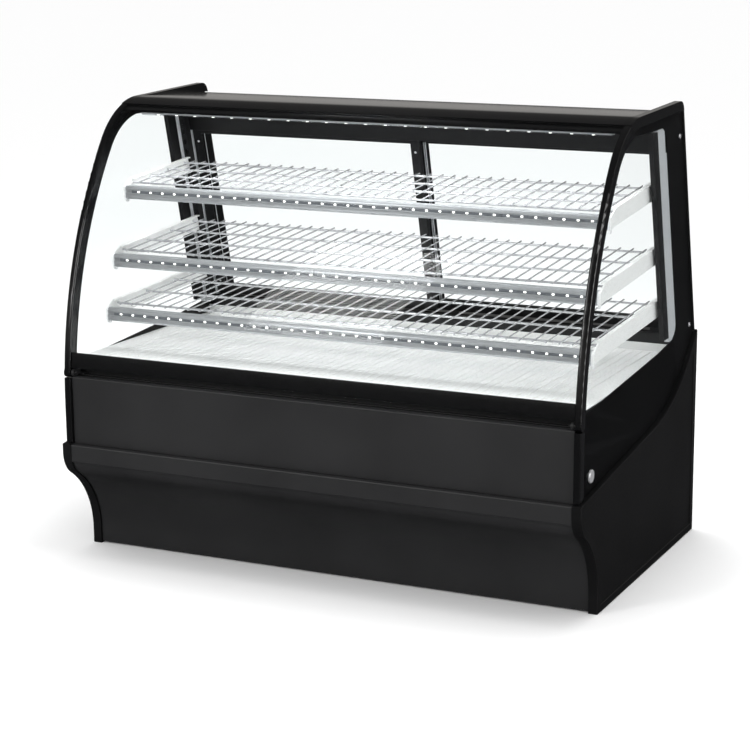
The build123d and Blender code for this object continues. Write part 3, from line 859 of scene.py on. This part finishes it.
def hang_lights():
    """Soft boxes, aimed at the middle of the case."""
    target = Vector((0, 0, 0.75))
    boxes = (
        ("key_light", (-2.2, -4.6, 2.6), (0.7, 2.4), 60.0, True, True),
        ("top_light", (0.3, 0.3, 3.4), (2.6, 1.6), 60.0, True, False),
        ("rim_light", (4.4, -1.6, 1.6), (3.0, 3.0), 150.0, False, True),
    )
    for name, place, size, power, lights, mirrors in boxes:
        lamp = bpy.data.lights.new(name, "AREA")
        lamp.shape = "RECTANGLE"
        lamp.size, lamp.size_y = size
        lamp.energy = power
        thing = bpy.data.objects.new(name, lamp)
        thing.location = place
        thing.rotation_euler = (target - Vector(place)).to_track_quat("-Z", "Y").to_euler()
        thing.visible_diffuse = lights
        thing.visible_glossy = mirrors
        thing.visible_camera = False
        thing.visible_transmission = False
        bpy.context.scene.collection.objects.link(thing)


def hang_canopy_lamp():
    """The canopy's own light, shining down on the shelves."""
    low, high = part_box("canopy_light_lens")
    lamp = bpy.data.lights.new("canopy_lamp", "AREA")
    lamp.shape = "RECTANGLE"
    lamp.size, lamp.size_y = high.x - low.x, 0.03
    lamp.energy = 6.0
    lamp.color = (0.98, 0.99, 1.0)
    thing = bpy.data.objects.new("canopy_lamp", lamp)
    thing.location = (0, (low.y + high.y) / 2, low.z - 2 * MM)
    thing.rotation_euler = (radians(12), 0, 0)
    thing.visible_camera = False
    thing.visible_glossy = False
    bpy.context.scene.collection.objects.link(thing)


def lay_flag():
    """A dark card on the floor, seen only in reflections, as a studio keeps gloss black."""
    half = 60.0
    mesh = bpy.data.meshes.new("floor_flag")
    lift = 1.0 * MM
    corners = [(-half, -half, lift), (half, -half, lift), (half, half, lift), (-half, half, lift)]
    mesh.from_pydata(corners, [], [(0, 1, 2, 3)])
    flag = bpy.data.objects.new("floor_flag", mesh)
    flag.data.materials.append(materials()["flag"])
    for ray in ("camera", "diffuse", "shadow", "transmission"):
        setattr(flag, f"visible_{ray}", False)
    bpy.context.scene.collection.objects.link(flag)


def place_camera(scene):
    """A long lens at the right-hand front, a little above the canopy."""
    lens = bpy.data.cameras.new("camera")
    lens.lens = 96.52
    lens.sensor_width = 36.0
    lens.shift_x = -0.1
    camera = bpy.data.objects.new("camera", lens)
    camera.location = (2.3614, -4.88, 1.7241)
    camera.rotation_euler = (radians(90 - 12.917), 0, radians(23.918))
    scene.collection.objects.link(camera)
    scene.camera = camera
    scene.view_settings.view_transform = "Standard"


class SHOWCASE_PT_panel(bpy.types.Panel):
    """Buttons that build the showcase"""

    bl_idname = "SHOWCASE_PT_panel"
    bl_label = "Showcase"
    bl_space_type = "VIEW_3D"
    bl_region_type = "UI"
    bl_category = "Showcase"

    def draw(self, context):
        settings = context.scene.showcase
        for name in settings.bl_rna.properties.keys():
            if name not in ("rna_type", "name"):
                self.layout.prop(settings, name)
        for operator in STEPS:
            self.layout.operator(operator.bl_idname)


STEPS = (
    SHOWCASE_OT_finish_parts,
    SHOWCASE_OT_light_rails,
    SHOWCASE_OT_canopy_lamps,
    SHOWCASE_OT_door_trims,
    SHOWCASE_OT_screws,
    SHOWCASE_OT_stage,
)
CLASSES = (ShowcaseSettings, *STEPS, SHOWCASE_PT_panel)


def register():
    """Add the classes and the settings."""
    for cls in CLASSES:
        bpy.utils.register_class(cls)
    bpy.types.Scene.showcase = bpy.props.PointerProperty(type=ShowcaseSettings)


def unregister():
    """Take the classes and the settings away."""
    del bpy.types.Scene.showcase
    for cls in reversed(CLASSES):
        bpy.utils.unregister_class(cls)


def main():
    """Build every piece in order."""
    register()
    for operator in STEPS:
        area, name = operator.bl_idname.split(".")
        getattr(getattr(bpy.ops, area), name)()
    bpy.context.view_layer.update()


if __name__ == "__main__":
    main()
